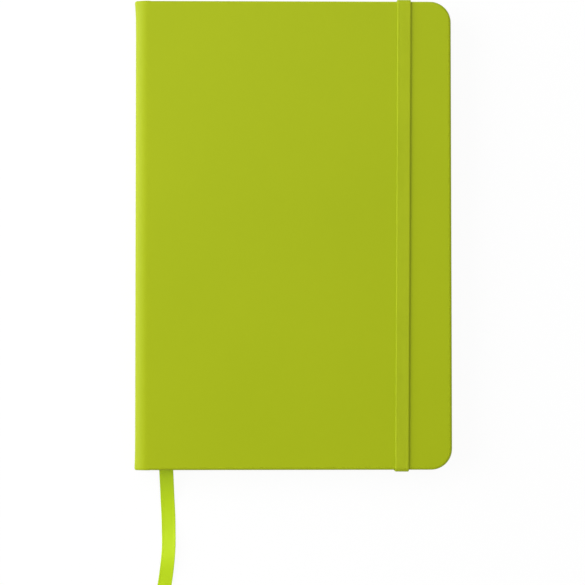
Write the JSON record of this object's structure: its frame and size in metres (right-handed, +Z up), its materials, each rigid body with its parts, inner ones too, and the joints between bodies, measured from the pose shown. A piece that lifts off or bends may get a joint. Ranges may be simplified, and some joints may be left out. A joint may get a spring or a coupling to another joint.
{
  "type": "notebook",
  "caption": "Hardcover notebook with rounded fore-edge corners, a vertical elastic closure band and a ribbon marker hanging out at the tail.",
  "frame": {"origin": "middle of the closed notebook's footprint, on the surface it lies on", "axes": "+Z up through the front cover, +Y towards the head of the page, -X towards the spine and +X towards the fore-edge"},
  "size_m": [0.1414, 0.2747, 0.0149],
  "materials": {
    "covering": "smooth satin imitation leather, yellow-green",
    "elastic": "ribbed woven elastic in the covering's colour",
    "ribbon": "satin ribbon, brighter yellow-green",
    "pages": "cut edges of ivory writing paper",
    "endpaper": "heavier uncoated ivory paper",
    "greyboard": "raw greyboard",
    "lining_cloth": "open cotton cloth set in glue"
  },
  "bodies": {
    "book_block": {"page_block": "pages", "front_flyleaf": "endpaper", "back_flyleaf": "endpaper", "spine_lining": "lining_cloth", "spine_stiffener": "greyboard", "spine_covering": "covering", "ribbon_marker": "ribbon"},
    "front_cover": {"front_board": "greyboard", "front_covering": "covering", "front_pastedown": "endpaper"},
    "back_cover": {"back_board": "greyboard", "back_covering": "covering", "back_pastedown": "endpaper", "elastic_band": "elastic"}
  },
  "joints": [
    {"name": "front_cover_hinge", "type": "hinge", "parent": "book_block", "child": "front_cover", "pos_m": [-0.068, 0, 0.01125], "axis": [0, -1, 0], "range_deg": [0, 179], "deforming": ["elastic_band"]},
    {"name": "back_cover_hinge", "type": "hinge", "parent": "book_block", "child": "back_cover", "pos_m": [-0.068, 0, 0.00275], "axis": [0, 1, 0], "range_deg": [0, 179], "deforming": ["elastic_band"]}
  ]
}
